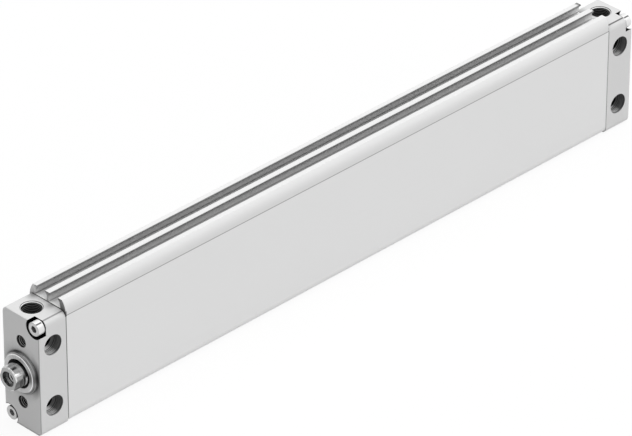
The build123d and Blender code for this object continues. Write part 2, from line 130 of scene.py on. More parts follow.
class CylinderFinish(bpy.types.PropertyGroup):
    """Colours and roughness of the finishes."""

    barrel: tint("Barrel", "Anodised extrusion", (0.87, 0.87, 0.87))
    cap: tint("Caps", "Anodised, machined caps", (0.745, 0.745, 0.745))
    screw: tint("Screws", "Bright zinc", (0.86, 0.86, 0.86))
    rod: tint("Rod", "Ground steel", (0.60, 0.60, 0.60))
    collar: tint("Collar", "Turned aluminium", (0.56, 0.56, 0.56))
    bronze: tint("Bush", "Sintered bronze", (0.48, 0.30, 0.13))
    rubber: tint("Rubber", "Nitrile rubber", (0.012, 0.012, 0.013))
    cushion: tint("Cushions", "Polyurethane", (0.55, 0.40, 0.16))
    band: tint("Guide band", "Acetal", (0.72, 0.71, 0.67))
    magnet: tint("Magnet", "Bonded ferrite", (0.045, 0.045, 0.05))
    piston: tint("Piston", "Machined aluminium", (0.68, 0.68, 0.69))
    plated: tint("Nut and washer", "Zinc-plated steel", (0.66, 0.67, 0.68))
    satin: share("Satin roughness", "Roughness of the anodised faces", 0.42)


class ScrewSizes(bpy.types.PropertyGroup):
    """Sizes of the cap screws, from the axis of each screw."""

    inset: millimetres("Inset", "Axis to the outer faces", 3.7)
    head_radius: millimetres("Head radius", "Half the head's diameter", 3.5)
    head_height: millimetres("Head height", "Length of the head", 4.0)
    edge: millimetres("Edge", "Rounding of the head", 0.35)
    socket: millimetres("Socket", "Width across the socket's flats", 3.0)
    socket_depth: millimetres("Socket depth", "Depth of the hexagon", 2.0)
    shank_radius: millimetres("Shank radius", "Half the thread's diameter", 2.0)
    pitch: millimetres("Pitch", "Pitch of the thread", 0.7)


class ThreadSizes(bpy.types.PropertyGroup):
    """Sizes of the threads in ports, caps and rod."""

    port_radius: millimetres("Port wall", "Outer radius of the port's thread", 4.86)
    port_ridge: millimetres("Port ridge", "Height of the port's thread", 0.5)
    port_pitch: millimetres("Port pitch", "Pitch of the port's thread", 0.907)
    port_offset: millimetres("Port offset", "Port's axis from the mid-plane", 1.5)
    port_depth: millimetres("Port depth", "Length of the port's thread", 6.0)
    end_radius: millimetres("End wall", "Outer radius of the threads in the end holes and the rod", 3.0)
    end_ridge: millimetres("End ridge", "Height of those threads", 0.48)
    end_pitch: millimetres("End pitch", "Pitch of the end holes and the rod's hole", 1.0)
    rod_counterbore: millimetres("Rod counterbore", "Depth of the counterbore in the rod's end", 2.3)
    spacing: millimetres("Spacing", "Distance between the holes of a pair", 32.5)
    counterbore: millimetres("Counterbore", "Radius of the cross holes' counterbore", 5.15)
    counterbore_depth: millimetres("Counterbore depth", "Depth of the counterbore", 5.4)
    ring_pitch: millimetres("Ring pitch", "Distance between the rings in the counterbore", 1.3)


class StudioSettings(bpy.types.PropertyGroup):
    """Floor, light and camera."""

    azimuth: turned("Azimuth", "Camera's turn round the part", -44.756)
    elevation: turned("Elevation", "Camera's height", 32.377)
    roll: turned("Roll", "Camera's roll", 0.097)
    place: bpy.props.FloatVectorProperty(name="Place", description="Camera's position", unit="LENGTH",
                                         subtype="TRANSLATION", default=(-1.34615, -1.54437, 1.37767))
    lens: bpy.props.FloatProperty(name="Lens", description="Focal length in mm", default=314.19, min=1.0)
    top: share("Top", "Strength of the lamp above", 1.42, 20.0)
    sky: share("Surround", "Strength of the surround", 0.56, 5.0)
    lean: bpy.props.FloatVectorProperty(name="Lean", description="Growth of the surround along X, Y and Z",
                                        default=(0.35, -0.2, 0.0))
    floor: tint("Floor", "Colour of the floor", (0.56, 0.56, 0.56))


# Shader nodes

def add(tree, kind, values=None, **settings):
    """New shader node. A value may be a number, a colour or another node's output."""
    made = tree.nodes.new("ShaderNode" + kind)
    columns = 9
    row, column = divmod(len(tree.nodes), columns)
    made.location = (190 * column, -260 * row)
    for key, value in settings.items():
        setattr(made, key, value)
    for key, value in (values or {}).items():
        if isinstance(value, bpy.types.NodeSocket):
            tree.links.new(value, made.inputs[key])
        else:
            made.inputs[key].default_value = value
    return made


def use(tree, group, **values):
    """Outputs of a node group put into a material."""
    return add(tree, "Group", values, node_tree=bpy.data.node_groups[group]).outputs


def give(tree, node, sockets):
    """Joins sockets to the node's inputs of the same names."""
    for label, socket in sockets.items():
        tree.links.new(socket, node.inputs[label])


def arithmetic(tree, operation, *values):
    """Output of a Math node."""
    return add(tree, "Math", dict(enumerate(values)), operation=operation).outputs[0]


def ramp(tree, value, start=0.0, end=1.0, low=0.0, high=1.0):
    """Tone that runs from low, where the value is start, to high, where it is end."""
    limits = {"Value": value, "From Min": start, "From Max": end, "To Min": low, "To Max": high}
    return add(tree, "MapRange", limits).outputs[0]


def noise(tree, place, scale, detail, **values):
    """Noise from 0 to 1."""
    inputs = {"Vector": place, "Scale": scale, "Detail": detail, **values}
    return add(tree, "TexNoise", inputs).outputs["Fac"]


def blended(tree, factor, first, second, mode="MIX"):
    """Colour mix of two colours or sockets."""
    return add(tree, "Mix", {0: factor, 6: first, 7: second}, data_type="RGBA", blend_type=mode).outputs[2]


def here(tree):
    """Place of the point, in metres."""
    return add(tree, "TexCoord").outputs["Object"]


def along_and_across(tree):
    """Distance of the point along the X axis, and its offset across it as a vector."""
    place = add(tree, "SeparateXYZ", {0: here(tree)}).outputs
    return place[0], add(tree, "CombineXYZ", {1: place[1], 2: place[2]}).outputs[0]


def openness(tree, reach):
    """1 on open faces, and less the more the point is closed in."""
    return add(tree, "AmbientOcclusion", {"Distance": reach}, samples=8, only_local=False).outputs["AO"]


# Shader node groups

def new_group(name, inputs, outputs):
    """Shader node group with number inputs. Returns its tree, input sockets and output node."""
    tree = bpy.data.node_groups.new(name, "ShaderNodeTree")
    for label, value in inputs.items():
        socket = tree.interface.new_socket(label, in_out="INPUT", socket_type="NodeSocketFloat")
        socket.default_value = value
    for label, kind in outputs.items():
        tree.interface.new_socket(label, in_out="OUTPUT", socket_type="NodeSocket" + kind)
    return tree, tree.nodes.new("NodeGroupInput").outputs, tree.nodes.new("NodeGroupOutput")


def group_drawn_lines():
    """Fine lines along X, as a die leaves them on an extrusion or a grinder on a rod."""
    tree, inside, out = new_group("drawn_lines", {"Length": 0.12, "Spacing": 0.0004}, {"Tone": "Float"})
    along = arithmetic(tree, "DIVIDE", 1.0, inside["Length"])
    across = arithmetic(tree, "DIVIDE", 1.0, inside["Spacing"])
    scale = add(tree, "CombineXYZ", {0: along, 1: across, 2: across}).outputs[0]
    spread = add(tree, "VectorMath", {0: here(tree), 1: scale}, operation="MULTIPLY").outputs[0]
    give(tree, out, {"Tone": noise(tree, spread, 1.0, 3.0, Roughness=0.6)})


def group_turned_rings():
    """Rings round the X axis, as a lathe leaves them."""
    tree, inside, out = new_group("turned_rings", {"Spacing": 0.0003}, {"Tone": "Float"})
    along, across = along_and_across(tree)
    radius = add(tree, "VectorMath", {0: across}, operation="LENGTH").outputs["Value"]
    both = add(tree, "CombineXYZ", {0: along, 1: radius}).outputs[0]
    step = arithmetic(tree, "DIVIDE", 1.0, inside["Spacing"])
    spread = add(tree, "VectorMath", {0: both, "Scale": step}, operation="SCALE").outputs[0]
    give(tree, out, {"Tone": noise(tree, spread, 1.0, 2.0)})


def group_sector_sheen():
    """Light and dark sectors round the X axis, as light plays on a turned face."""
    tree, inside, out = new_group("sector_sheen", {"Count": 1.6}, {"Tone": "Float"})
    across = along_and_across(tree)[1]
    way = add(tree, "VectorMath", {0: across}, operation="NORMALIZE").outputs[0]
    give(tree, out, {"Tone": ramp(tree, noise(tree, way, inside["Count"], 2.0), 0.35, 0.65)})


def group_fine_grain():
    """Even grain, such as blasted or anodised metal, rubber or sintered bronze."""
    tree, inside, out = new_group("fine_grain", {"Size": 0.0002}, {"Tone": "Float"})
    scale = arithmetic(tree, "DIVIDE", 1.0, inside["Size"])
    give(tree, out, {"Tone": noise(tree, here(tree), scale, 4.0, Roughness=0.65)})


def group_handling_marks():
    """Wide, faint patches, where the surface was handled."""
    tree, inside, out = new_group("handling_marks", {"Size": 0.03}, {"Mask": "Float"})
    scale = arithmetic(tree, "DIVIDE", 1.0, inside["Size"])
    patches = noise(tree, here(tree), scale, 5.0, Distortion=0.4)
    give(tree, out, {"Mask": ramp(tree, patches, 0.4, 0.7)})


def group_edge_break():
    """Rounded normal at the edges, and a mask of those edges."""
    tree, inside, out = new_group("edge_break", {"Width": 0.0002}, {"Mask": "Float", "Normal": "Vector"})
    rounded = add(tree, "Bevel", {"Radius": inside["Width"]}, samples=6).outputs[0]
    true = add(tree, "NewGeometry").outputs["True Normal"]
    level = add(tree, "VectorMath", {0: rounded, 1: true}, operation="DOT_PRODUCT").outputs["Value"]
    give(tree, out, {"Mask": ramp(tree, level, 0.97, 0.75), "Normal": rounded})


def group_crevice():
    """Mask of narrow gaps and deep corners, where shade is painted."""
    tree, inside, out = new_group("crevice", {"Reach": 0.001}, {"Mask": "Float"})
    give(tree, out, {"Mask": ramp(tree, openness(tree, inside["Reach"]), 0.85, 0.25)})


def group_deep_shade():
    """Tone of 1 on open faces that falls off in holes, slots and corners, but not near the floor."""
    start = {"Reach": 0.007, "Power": 1.5, "Black": 0.0}
    tree, inside, out = new_group("deep_shade", start, {"Tone": "Float"})
    clear = ramp(tree, openness(tree, inside["Reach"]), inside["Black"])
    fall = arithmetic(tree, "POWER", clear, inside["Power"])
    height = add(tree, "SeparateXYZ", {0: here(tree)}).outputs[2]
    low = ramp(tree, height, FLOOR_LEVEL + 14 * MM, FLOOR_LEVEL + 7 * MM)
    give(tree, out, {"Tone": arithmetic(tree, "MAXIMUM", fall, low)})


def group_hairline():
    """Mask of a thin line where a value comes near a level."""
    start = {"Value": 0.0, "Level": 0.0, "Half": 0.0002}
    tree, inside, out = new_group("hairline", start, {"Mask": "Float"})
    off = arithmetic(tree, "ABSOLUTE", arithmetic(tree, "SUBTRACT", inside["Value"], inside["Level"]))
    give(tree, out, {"Mask": ramp(tree, arithmetic(tree, "DIVIDE", off, inside["Half"]), 1.3, 0.7)})


# Materials

def shade(colour, factor):
    """Colour times factor, with alpha."""
    return tuple(min(1.0, channel * factor) for channel in colour) + (1.0,)


def grey(value):
    """Neutral colour with alpha."""
    return (value, value, value, 1.0)


def blank(name):
    """New node material with an empty Principled shader. Returns material, tree and shader."""
    material = bpy.data.materials.new(name)
    material.use_nodes = True
    return material, material.node_tree, material.node_tree.nodes["Principled BSDF"]


def metal(name, colour, pattern, roughness, metallic, relief, contrast=0.05, edge=0.0002, edge_wear_and_highlight=1.15,
          dark=0.45, depth=0.007, shadow=1.0, black=0.0, lit_edge=0.0, **pattern_values):
    """Machined or anodised metal with a pattern, broken edges painted lighter as edge wear and painted
    highlight, and painted shade in crevices, holes and slots.
    """
    material, tree, shader = blank(name)
    tone = use(tree, pattern, **pattern_values)["Tone"]
    marks = use(tree, "handling_marks")["Mask"]
    edges = use(tree, "edge_break", Width=edge)
    crevice_shade = use(tree, "crevice", Reach=CREVICE)["Mask"]
    deep = use(tree, "deep_shade", Reach=depth, Power=shadow, Black=black)["Tone"]
    body = blended(tree, tone, shade(colour, 1 - contrast), shade(colour, 1 + contrast))
    # Edges painted lighter: partly edge wear, partly painted highlight.
    body = blended(tree, edges["Mask"], body, shade(colour, edge_wear_and_highlight))
    # Painted shade in narrow gaps and deep corners.
    body = blended(tree, crevice_shade, body, shade(colour, dark))
    # Painted shade that deepens in holes, slots and corners.
    body = blended(tree, deep, shade(colour, 0.02), body)
    # Painted highlight on the edges, as strong as lit_edge asks.
    body = blended(tree, arithmetic(tree, "MULTIPLY", edges["Mask"], lit_edge), body, shade(colour, edge_wear_and_highlight))
    spread = roughness * 0.12
    handled = roughness * 0.1
    rough = ramp(tree, tone, low=roughness - spread, high=roughness + spread)
    worn = arithmetic(tree, "MULTIPLY_ADD", marks, handled, rough)
    relief_values = {"Strength": 0.6, "Distance": relief, "Height": tone, "Normal": edges["Normal"]}
    bump = add(tree, "Bump", relief_values).outputs[0]
    give(tree, shader, {"Base Color": body, "Roughness": worn, "Normal": bump})
    shader.inputs["Metallic"].default_value = metallic
    return material


def soft(name, colour, roughness, size, relief, contrast=0.2):
    """Rubber or plastic with a fine grain."""
    tree, shader = blank(name)[1:]
    tone = use(tree, "fine_grain", Size=size)["Tone"]
    marks = use(tree, "handling_marks", Size=0.01)["Mask"]
    body = blended(tree, tone, shade(colour, 1 - contrast), shade(colour, 1 + contrast))
    body = blended(tree, marks, body, shade(colour, 1 + contrast))
    spread = 0.06
    rough = ramp(tree, tone, low=roughness - spread, high=roughness + spread)
    bump = add(tree, "Bump", {"Strength": 0.7, "Distance": relief, "Height": tone}).outputs[0]
    give(tree, shader, {"Base Color": body, "Roughness": rough, "Normal": bump})
    shader.inputs["Specular IOR Level"].default_value = 0.35


class Surface:
    """Where a point of a material lies, masks worked out from that, and tones laid where a mask says."""

    def __init__(self, material):
        self.tree = material.node_tree
        self.shader = self.tree.nodes["Principled BSDF"]
        self.x, self.y, self.z = self.parts(here(self.tree))
        true_normal = add(self.tree, "NewGeometry").outputs["True Normal"]
        self.normal_x, self.normal_y, self.normal_z = self.parts(true_normal)

    def parts(self, vector):
        """The three numbers of a vector."""
        return tuple(add(self.tree, "SeparateXYZ", {0: vector}).outputs)

    def plus(self, first, second):
        """Sum of two values."""
        return arithmetic(self.tree, "ADD", first, second)

    def minus(self, first, second):
        """First value less the second."""
        return arithmetic(self.tree, "SUBTRACT", first, second)

    def size(self, value):
        """Value without its sign."""
        return arithmetic(self.tree, "ABSOLUTE", value)

    def product(self, first, *others):
        """All values multiplied, so that masks give 1 only where each of them does."""
        for other in others:
            first = arithmetic(self.tree, "MULTIPLY", first, other)
        return first

    def over(self, value, level):
        """1 where the value is greater than the level."""
        return arithmetic(self.tree, "GREATER_THAN", value, level)

    def under(self, value, level):
        """1 where the value is less than the level."""
        return arithmetic(self.tree, "LESS_THAN", value, level)

    def ramp(self, value, start, end, low=0.0, high=1.0):
        """Tone that runs from low, where the value is start, to high, where it is end."""
        return ramp(self.tree, value, start, end, low, high)

    def line(self, value, level, half):
        """Mask of a thin line where the value comes near the level."""
        return use(self.tree, "hairline", Value=value, Level=level, Half=half)["Mask"]

    def distance(self, first, second):
        """Distance from an axis, from the two offsets across it."""
        flat = add(self.tree, "CombineXYZ", {0: first, 1: second}).outputs[0]
        return add(self.tree, "VectorMath", {0: flat}, operation="LENGTH").outputs["Value"]

    def inwards(self):
        """Distance from the nearer end of the body."""
        middle = TOTAL_LENGTH / 2
        return self.minus(middle, self.size(self.minus(self.x, middle)))

    def mirrored(self, value, level):
        """Offset from the level, the same on both sides of zero."""
        return self.minus(self.size(value), level)

    def same_side(self, value, level):
        """Offset from the level on the value's own side of zero, in the value's own direction."""
        return self.minus(value, self.ramp(self.over(value, 0.0), 0.0, 1.0, -level, level))

    def from_port(self, sizes):
        """Distance from the axis of the nearer port."""
        return self.distance(self.minus(self.inwards(), CAP_MIDDLE), self.minus(self.y, sizes.port_offset))

    def from_end_hole(self, sizes):
        """Distance from the axis of the nearest end hole."""
        return self.distance(self.y, self.mirrored(self.z, sizes.spacing / 2))

    def colour(self, colour, *masks, mode="MIX"):
        """Lays a colour over the base colour where all masks say so."""
        before = self.shader.inputs["Base Color"].links[0].from_socket
        after = blended(self.tree, self.product(*masks), before, colour, mode)
        give(self.tree, self.shader, {"Base Color": after})

    def darken(self, factor, *masks):
        """Multiplies the base colour by the factor where all masks say so."""
        self.colour(grey(factor), *masks, mode="MULTIPLY")

    def dull(self, *masks):
        """Takes away the gloss where all masks say so."""
        gloss = self.shader.inputs["Specular IOR Level"]
        before = gloss.links[0].from_socket if gloss.links else gloss.default_value
        after = self.product(self.minus(1.0, self.product(*masks)), before)
        give(self.tree, self.shader, {"Specular IOR Level": after})

    def fall_off(self, power):
        """Sets how fast the tone falls off in holes and slots."""
        for node in self.tree.nodes:
            if node.type == "GROUP" and node.node_tree.name == "deep_shade":
                self.tree.links.new(power, node.inputs["Power"])


# Finishes of the body, with painted light and shade

def satin_cap(colours, threads):
    """Anodised, machined cap: fine grain, painted shade in its holes with lighter lower walls, painted
    shade on its front faces, and lines at its edges.
    """
    cap = Surface(metal("satin_cap", colours.cap, "fine_grain", colours.satin, 0.1, 0.000006, contrast=0.01,
                        depth=0.006, shadow=1.3, black=0.22, Size=0.00025))
    # Painted shade in the holes falls off faster on walls that face down.
    cap.fall_off(cap.ramp(cap.normal_z, -1.0, 1.0, 1.9, 0.75))
    crease_line(cap)
    # Painted shade on the faces that look towards the front end.
    cap.darken(0.93, cap.under(cap.normal_x, -FACING))
    rail_reflections(cap)
    cross_hole_shade(cap, threads)
    notch_shade(cap)
    thread_shade(cap, threads)
    collar_shade(cap)
    corner_line(cap)
    rear_foot(cap)
    seams(cap)
    base_line(cap, CAP_BASE + 0.5 * MM)


def crease_line(cap):
    """Painted shade: a dark line along the near crease on top of the caps, stronger at the rear, with a
    softer painted shade past it.
    """
    crease = CREASE_INSET - HALF_WIDTH
    high = cap.over(cap.z, CAP_TOP - 1.0 * MM)
    strength = cap.ramp(cap.x, 0.0, TOTAL_LENGTH, 0.65, 1.0)
    cap.darken(0.15, cap.line(cap.y, crease, 0.38 * MM), high, strength)
    beside = cap.ramp(cap.y, crease, 0.8 * MM - HALF_WIDTH, 1.0, 0.0)
    cap.darken(0.8, beside, cap.under(cap.y, crease), high)


def rail_reflections(cap):
    """Soft painted dark reflections of the rails on top of the caps, beside their feet."""
    middle_foot = -3.4 * MM
    far_foot = 8.3 * MM
    back = cap.ramp(cap.inwards(), CAP_MIDDLE + 2.5 * MM, CAP_MIDDLE * 2)
    high = cap.over(cap.z, CAP_TOP - 0.3 * MM)
    for foot in (middle_foot, far_foot):
        near = cap.ramp(cap.size(cap.minus(cap.y, foot)), 3.0 * MM, 0.5 * MM)
        cap.darken(0.5, back, near, high)


def cross_hole_shade(wall, threads):
    """Painted shade in the cross holes, with ring marks, lighter on their lower left where light falls, and
    painted black in their narrow part.
    """
    rear = wall.over(wall.x, TOTAL_LENGTH / 2)
    east = wall.minus(wall.x, wall.ramp(rear, 0.0, 1.0, CAP_MIDDLE, TOTAL_LENGTH - CAP_MIDDLE))
    up = wall.same_side(wall.z, threads.spacing / 2)
    radius = wall.distance(east, up)
    across = wall.size(wall.y)
    inside = wall.product(wall.under(radius, threads.counterbore + 0.1 * MM),
                          wall.under(across, HALF_WIDTH - 0.05 * MM))
    lower_left = wall.ramp(wall.plus(east, up), -1.3 * MM, -4.6 * MM, 0.1, 1.0)
    deeper = wall.ramp(across, HALF_WIDTH, HALF_WIDTH - 3.5 * MM, 0.35, 1.0)
    rings_per_metre = 2000.0
    inputs = {"W": wall.product(across, rings_per_metre), "Scale": 1.0, "Detail": 1.0}
    rings = add(wall.tree, "TexNoise", inputs, noise_dimensions="1D").outputs["Fac"]
    tone = wall.product(lower_left, deeper, wall.ramp(rings, 0.38, 0.62, 0.1, 2.0))
    # The hole's colour is painted shade, lighter on the lower left, with the ring marks in it.
    wall.colour(blended(wall.tree, tone, grey(0.1), grey(0.9)), inside)
    floor = HALF_WIDTH - threads.counterbore_depth
    narrow_start = wall.ramp(rear, 0.0, 1.0, floor - 0.05 * MM, floor + 0.1 * MM)
    narrow = wall.product(wall.under(across, narrow_start),
                          wall.under(radius, threads.counterbore - 0.4 * MM))
    # Painted black shade in the narrow part.
    wall.darken(0.05, inside, narrow)
    wall.dull(inside)


def notch_shade(cap):
    """Painted black shade in the gaps round the heads of the cap screws, and a painted dark rim at the
    lower one.
    """
    radius = cap.distance(cap.mirrored(cap.y, HALF_WIDTH - NOTCH_INSET),
                          cap.mirrored(cap.z, CAP_TOP - NOTCH_INSET))
    wall = cap.under(radius, NOTCH_RADIUS + 0.05 * MM)
    ahead = cap.under(cap.inwards(), NOTCH_DEPTH + 0.05 * MM)
    screw_corners = cap.under(cap.product(cap.y, cap.z), 0.0)
    gap = cap.product(wall, ahead, screw_corners)
    cap.darken(0.05, gap)
    cap.dull(gap)
    rim = cap.line(radius, NOTCH_RADIUS + 0.1 * MM, 0.2 * MM)
    cap.darken(0.2, rim, screw_corners, cap.under(cap.z, 0.0))


def thread_shade(cap, threads):
    """Painted black shade on the walls of the threaded holes, and a painted lit ring and a painted dark
    ring in the rim of the ports.
    """
    port = cap.from_port(threads)
    port_wall = cap.product(cap.under(port, threads.port_radius + 0.03 * MM),
                            cap.over(cap.z, CAP_TOP - PORT_REACH))
    cap.darken(0.06, port_wall)
    cap.dull(port_wall)
    cone = cap.product(cap.under(cap.z, CAP_TOP - 0.02 * MM), cap.over(cap.z, CAP_TOP - 0.7 * MM))
    lit = cap.line(port, threads.port_radius + 0.16 * MM, 0.18 * MM)
    dim = cap.line(port, threads.port_radius + 0.44 * MM, 0.15 * MM)
    cap.colour(LIT, lit, cone)
    cap.colour(grey(0.05), dim, cone)
    end_wall = cap.product(cap.under(cap.from_end_hole(threads), threads.end_radius + 0.05 * MM),
                           cap.under(cap.inwards(), END_HOLE_REACH))
    cap.darken(0.15, end_wall)
    cap.dull(end_wall)


def collar_shade(cap):
    """Shade between the collar and the near edge of the front face."""
    near = cap.ramp(cap.distance(cap.y, cap.z), 14.5 * MM, 10.8 * MM)
    beside = cap.ramp(cap.y, -6.0 * MM, -10.0 * MM)
    cap.darken(0.18, near, beside, cap.under(cap.normal_x, -FACING))


def corner_line(cap):
    """Fine dark line down the near corner of the end faces."""
    line = cap.line(cap.y, 0.3 * MM - HALF_WIDTH, 0.2 * MM)
    cap.darken(0.6, line, cap.over(cap.size(cap.normal_x), 0.6))


def rear_foot(cap):
    """Pale strip of painted light on the rear cap's inner face that shows below the barrel."""
    low = cap.under(cap.z, CAP_BASE + 4.0 * MM)
    rear = cap.over(cap.x, TOTAL_LENGTH / 2)
    cap.colour(grey(0.9), low, rear, cap.under(cap.normal_x, -FACING))


def seams(surface):
    """Dark joints between the barrel and the caps. The front one gets wider at its upper corners, where the
    widening is painted shade of the gap.
    """
    sides = surface.under(surface.size(surface.normal_x), FACING)
    below = surface.under(surface.z, CAP_TOP + 0.1 * MM)
    upper = surface.over(surface.z, CAP_TOP - 2.5 * MM)
    corner = surface.ramp(surface.size(surface.y), 8.0 * MM, 10.5 * MM, 0.0, 0.3 * MM)
    plain_half = 0.2 * MM
    front_half = surface.plus(surface.product(corner, upper), plain_half)
    rear_half = 0.34 * MM
    for joint, half, factor in ((BARREL[0].x, front_half, 0.22), (BARREL[1].x, rear_half, 0.66)):
        surface.darken(factor, surface.line(surface.x, joint, half), sides, below)


def base_line(surface, level):
    """Painted shade: a darker strip where the lower edges turn under."""
    surface.darken(0.6, surface.ramp(surface.z, level + 0.8 * MM, level))


def satin_barrel(colours):
    """Anodised extrusion: die lines, painted shade on the shoulders and in the slots, upper end faces
    darker towards the near side, and a painted shade line under each shoulder.
    """
    barrel = Surface(metal("satin_barrel", colours.barrel, "drawn_lines", colours.satin, 0.1, 0.000006,
                           contrast=0.01, shadow=1.15, Length=0.15, Spacing=0.0005))
    # Painted shade in the slots fades towards the rear end.
    barrel.fall_off(barrel.ramp(barrel.x, BARREL[1].x - 12 * MM, BARREL[1].x, 1.15, 0.6))
    # Painted shade on the shoulders, strongest just above the flat sides.
    shoulder = barrel.ramp(barrel.z, SIDE_TOP, SIDE_TOP + 0.2 * MM)
    lower = barrel.ramp(barrel.z, RAIL_TOP - 1.1 * MM, SIDE_TOP + 1.5 * MM, 0.1, 1.0)
    barrel.darken(0.88, shoulder, lower)
    slot_shade(barrel)
    # Painted shade line along the crease under each shoulder.
    side = barrel.over(barrel.size(barrel.y), BARREL[1].y - 0.2 * MM)
    barrel.darken(0.45, side, barrel.line(barrel.z, SIDE_TOP, 0.22 * MM))
    # The upper end faces are darker towards the near side.
    end_faces = barrel.over(barrel.size(barrel.normal_x), FACING)
    across = barrel.ramp(barrel.y, 8.0 * MM, -9.0 * MM)
    upper = barrel.over(barrel.z, SIDE_TOP - 8.0 * MM)
    barrel.darken(0.3, end_faces, across, upper)
    seams(barrel)
    base_line(barrel, BARREL[0].z + 1.1 * MM)


def slot_shade(barrel):
    """Painted shade in the slots: walls that get lighter downwards, dark upper edges, and the dark rear tip
    of the far lip.
    """
    slots_reach = 8.6 * MM
    rail_edge = -1.55 * MM
    far_lip_edge = 7.0 * MM
    # Painted shade on the slot walls, lighter downwards and in the far slot.
    gain = barrel.ramp(barrel.z, RAIL_TOP - 0.2 * MM, RAIL_TOP - 3.9 * MM, 0.42, 1.5)
    far = barrel.ramp(barrel.y, 1.0 * MM, 3.0 * MM, 1.0, 1.07)
    strength = barrel.product(gain, far)
    tone = add(barrel.tree, "CombineXYZ", {0: strength, 1: strength, 2: strength}).outputs[0]
    walls = barrel.product(barrel.under(barrel.size(barrel.y), slots_reach),
                           barrel.under(barrel.z, RAIL_TOP - 0.05 * MM),
                           barrel.over(barrel.z, CAP_TOP + 0.1 * MM))
    barrel.colour(tone, walls, mode="MULTIPLY")
    # Painted shade along the upper edges of the rail and the far lip.
    top = barrel.over(barrel.z, RAIL_TOP - 0.3 * MM)
    for edge in (rail_edge, far_lip_edge):
        barrel.darken(0.45, barrel.line(barrel.y, edge, 0.2 * MM), top)
    # Painted shade on the rear tip of the far lip.
    last = barrel.ramp(barrel.x, BARREL[1].x - 2.2 * MM, BARREL[1].x - 0.6 * MM)
    barrel.darken(0.15, last, top, barrel.over(barrel.y, far_lip_edge - 1.0 * MM))


def turned_collar(colours):
    """Turned collar: a plain face with a painted lit rim and painted shade on its right side, and a chamfer
    round it painted in streaky shade.
    """
    collar = Surface(metal("turned_collar", colours.collar, "sector_sheen", 0.3, 0.5, 0.000004,
                           contrast=0.14, edge=0.0003, edge_wear_and_highlight=1.2, depth=0.004, shadow=0.5))
    radius = collar.distance(collar.y, collar.z)
    slope = collar.under(collar.size(collar.normal_x), FACING)
    chamfer = collar.product(slope, collar.under(collar.x, 0.02 * MM),
                             collar.over(radius, COLLAR_FACE - 0.1 * MM))
    round_it = 90.0
    along_it = 2200.0
    place = {0: collar.product(collar.y, round_it), 1: collar.product(collar.z, round_it),
             2: collar.product(radius, along_it)}
    drawn_out = add(collar.tree, "CombineXYZ", place).outputs[0]
    # The chamfer is painted in streaky shade.
    shade_streaks = collar.ramp(noise(collar.tree, drawn_out, 1.0, 1.0), 0.36, 0.64)
    dark = shade(colours.collar, 0.07)
    bright = shade(colours.collar, 0.6)
    collar.colour(blended(collar.tree, shade_streaks, dark, bright), chamfer)
    # Painted shade on the right side.
    right = collar.ramp(collar.y, -5.5 * MM, -7.5 * MM)
    middle = collar.ramp(collar.size(collar.minus(collar.z, 0.8 * MM)), 3.5 * MM, 1.0 * MM)
    collar.darken(0.45, right, middle)
    # Painted highlight along the rim, on the upper left.
    rim = collar.line(radius, COLLAR_FACE - 0.05 * MM, 0.22 * MM)
    upper_left = collar.ramp(collar.minus(collar.z, collar.y), -2.0 * MM, 3.0 * MM)
    collar.colour(LIT, rim, upper_left)


# Finishes of the rod, the screws and the threads, with painted light and shade

def ground_rod(colours):
    """Ground rod: sheen in sectors, a darker faced end, painted shade in the counterbore, on the near flat
    and in a stroke past the flats, and a painted glint.
    """
    rod = Surface(metal("ground_rod", colours.rod, "sector_sheen", 0.17, 1.0, 0.000004, contrast=0.3,
                        edge=0.0002, edge_wear_and_highlight=1.3, depth=0.005, shadow=0.35, Count=2.6))
    bore_radius = 3.9 * MM
    flats_end = ROD[0].x + 3.88 * MM
    stroke_middle = ROD[0].x + 4.5 * MM
    glint_middle = ROD[0].x + 5.9 * MM
    rod.colour(shade(colours.rod, 0.58), rod.under(rod.normal_x, -FACING))
    # Painted shade in the counterbore.
    rod.darken(0.75, rod.under(rod.distance(rod.y, rod.z), bore_radius), rod.under(rod.x, 2.0 * MM))
    # Painted shade on the near flat.
    rod.darken(0.5, rod.under(rod.x, flats_end), rod.under(rod.normal_y, -FACING))
    # Painted shade in a short stroke past the flats, low on the rod.
    low = rod.ramp(rod.plus(rod.y, rod.z), -2.0 * MM, -4.0 * MM)
    rod.darken(0.15, rod.line(rod.x, stroke_middle, 0.6 * MM), low)
    # Painted glint, which is not metallic.
    below = rod.ramp(rod.z, 1.6 * MM, 0.6 * MM)
    near = rod.ramp(rod.y, -3.0 * MM, -4.2 * MM)
    glint = rod.product(rod.line(rod.x, glint_middle, 0.55 * MM), below, near)
    rod.colour(LIT, glint)
    give(rod.tree, rod.shader, {"Metallic": rod.minus(1.0, glint)})


